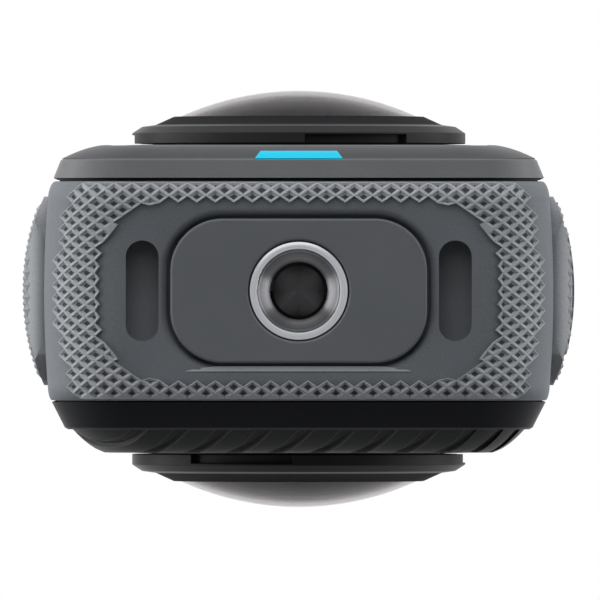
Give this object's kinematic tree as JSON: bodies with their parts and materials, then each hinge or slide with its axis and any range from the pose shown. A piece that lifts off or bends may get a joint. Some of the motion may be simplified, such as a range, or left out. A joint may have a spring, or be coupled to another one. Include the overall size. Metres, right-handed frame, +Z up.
{
  "type": "360 degree camera",
  "caption": "Pocket camera with back-to-back fisheye domes on twist-off rings, knurled grip, ribbed front, rear screen, hinged battery door and a tripod bush in its foot pad.",
  "frame": {"origin": "on the ground under the middle of the camera, halfway between the two lens domes", "axes": "+Z up, +Y towards the screen side and its lens, -Y towards the ribbed front, -X the battery door's side"},
  "size_m": [0.0634, 0.0488, 0.0697],
  "materials": {
    "grip_rubber": "knurled, matte",
    "frame_plastic": "moulded",
    "front_bezel_black": "fine satin",
    "front_plate_black": "satin",
    "back_bezel_grey": "fine satin",
    "back_plate_grey": "semi-gloss",
    "accent_cyan": "gloss",
    "seal_rubber": "matte",
    "screen_glass": "polished",
    "display": "dark display",
    "lens_ring_black": "anodised look, satin",
    "lens_socket_black": "satin",
    "cover_glass": "coated, polished",
    "element_glass": "coated, polished",
    "barrel_black": "matte black",
    "board_green": "circuit board",
    "sensor_dark": "polished",
    "chassis_alloy": "cast",
    "panel_rubber": "fine stipple",
    "door_rubber": "fine stipple",
    "latch_plastic": "satin",
    "fastener_steel": "turned",
    "pad_plastic": "fine satin",
    "bush_steel": "turned",
    "magnet_nickel": "plated",
    "battery_wrap": "satin wrap",
    "contact_brass": "plated",
    "card_black": "satin",
    "shell_steel": "pressed",
    "heat_alloy": "pressed",
    "button_rubber": "satin",
    "switch_plastic": "moulded",
    "window_clear": "light pipe"
  },
  "bodies": {
    "camera": {"grip_cover": "grip_rubber", "core_frame": "frame_plastic", "front_bezel": "front_bezel_black", "back_bezel": "back_bezel_grey", "front_gasket": "seal_rubber", "back_gasket": "seal_rubber", "front_plate": "front_plate_black", "back_plate": "back_plate_grey", "accent_bar": "accent_cyan", "screen_glass": "screen_glass", "display_panel": "display", "optical_chassis": "chassis_alloy", "side_panel": "panel_rubber", "door_hinge_pin": "fastener_steel", "mount_pad": "pad_plastic", "tripod_bush": "bush_steel", "mount_magnets": "magnet_nickel", "battery": "battery_wrap", "battery_tray": "frame_plastic", "battery_contacts": "contact_brass", "port_board": "board_green", "card_reader": "shell_steel", "memory_card": "card_black", "usb_port": "shell_steel", "main_board": "board_green", "processor_shield": "shell_steel", "thermal_plate": "heat_alloy", "shutter_spring": "fastener_steel", "shutter_switch": "switch_plastic", "mode_switch": "switch_plastic", "speaker": "switch_plastic", "microphones": "shell_steel", "front_status_window": "window_clear", "back_status_window": "window_clear", "front_screws": "fastener_steel", "back_screws": "fastener_steel", "front_lens_socket": "lens_socket_black", "front_fisheye_element": "element_glass", "front_lens_barrel": "barrel_black", "front_lens_group": "barrel_black", "front_sensor_board": "board_green", "front_image_sensor": "sensor_dark", "back_lens_socket": "lens_socket_black", "back_fisheye_element": "element_glass", "back_lens_barrel": "barrel_black", "back_lens_group": "barrel_black", "back_sensor_board": "board_green", "back_image_sensor": "sensor_dark"},
    "door": {"battery_door": "door_rubber", "door_seal": "seal_rubber"},
    "latch": {"door_latch": "latch_plastic"},
    "shutter": {"shutter_button": "button_rubber"},
    "mode": {"mode_button": "button_rubber"},
    "front_cover": {"front_cover_ring": "lens_ring_black", "front_cover_glass": "cover_glass", "front_cover_seal": "seal_rubber"},
    "back_cover": {"back_cover_ring": "lens_ring_black", "back_cover_glass": "cover_glass", "back_cover_seal": "seal_rubber"}
  },
  "joints": [
    {"name": "shutter_press", "type": "slide", "parent": "camera", "child": "shutter", "axis": [0, 0, -1], "range_m": [0, 0.0005], "stiffness_N_per_m": 500, "springref_m": -0.001, "deforming": ["shutter_spring"]},
    {"name": "mode_press", "type": "slide", "parent": "camera", "child": "mode", "axis": [-1, 0, 0], "range_m": [0, 0.0005], "stiffness_N_per_m": 500, "springref_m": -0.001},
    {"name": "door_swing", "type": "hinge", "parent": "camera", "child": "door", "pos_m": [-0.0293, 0.00093, 0.0506], "axis": [0, 1, 0], "range_deg": [0, 100]},
    {"name": "latch_slide", "type": "slide", "parent": "door", "child": "latch", "axis": [0, 0, -1], "range_m": [0, 0.0016]},
    {"name": "front_cover_twist", "type": "hinge", "parent": "camera", "child": "front_cover", "pos_m": [0, -0.01775, 0.0468], "axis": [0, -1, 0], "range_deg": [0, 55]},
    {"name": "back_cover_twist", "type": "hinge", "parent": "camera", "child": "back_cover", "pos_m": [0, 0.01775, 0.0468], "axis": [0, 1, 0], "range_deg": [0, 55]}
  ]
}
